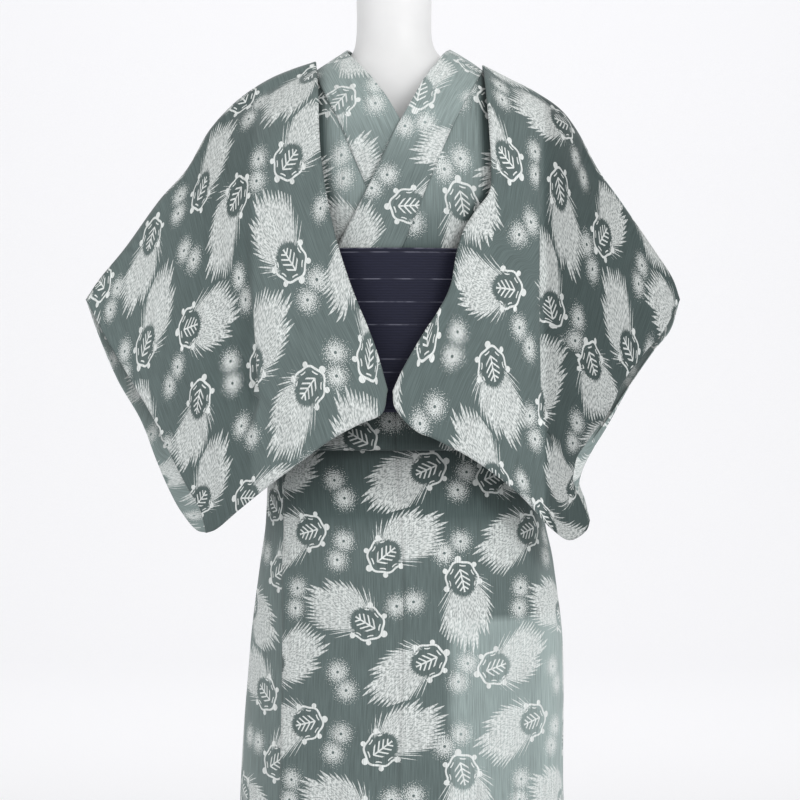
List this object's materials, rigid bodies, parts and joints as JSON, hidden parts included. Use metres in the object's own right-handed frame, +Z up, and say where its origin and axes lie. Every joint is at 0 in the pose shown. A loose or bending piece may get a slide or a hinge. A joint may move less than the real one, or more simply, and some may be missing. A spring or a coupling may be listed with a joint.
{
  "type": "summer kimono and belt on a limbless dress form",
  "caption": "Crossed-front summer kimono with wide hanging sleeves, waist tuck and flat wound belt, draped as worn on a limbless dress form with pole and round base.",
  "frame": {"origin": "centre of the stand base's underside, where it stands on the floor", "axes": "+Z up along the pole, -Y towards the front of the kimono, +X towards the wearer's left, which is the viewer's right"},
  "size_m": [0.6928, 0.3348, 1.45],
  "materials": {
    "cloth": "slightly sheer grey-green summer weave with a white figured pattern",
    "belt_cloth": "navy, ribbed across, with thin silver lines",
    "form_shell": "smooth matt white",
    "stand_metal": "satin white"
  },
  "bodies": {
    "root": {"body_right": "cloth", "body_left": "cloth", "overlap_right": "cloth", "overlap_left": "cloth", "collar": "cloth", "sleeve_right": "cloth", "sleeve_left": "cloth", "belt": "belt_cloth", "form_torso": "form_shell", "stand_pole": "stand_metal", "stand_base": "stand_metal"}
  },
  "joints": []
}
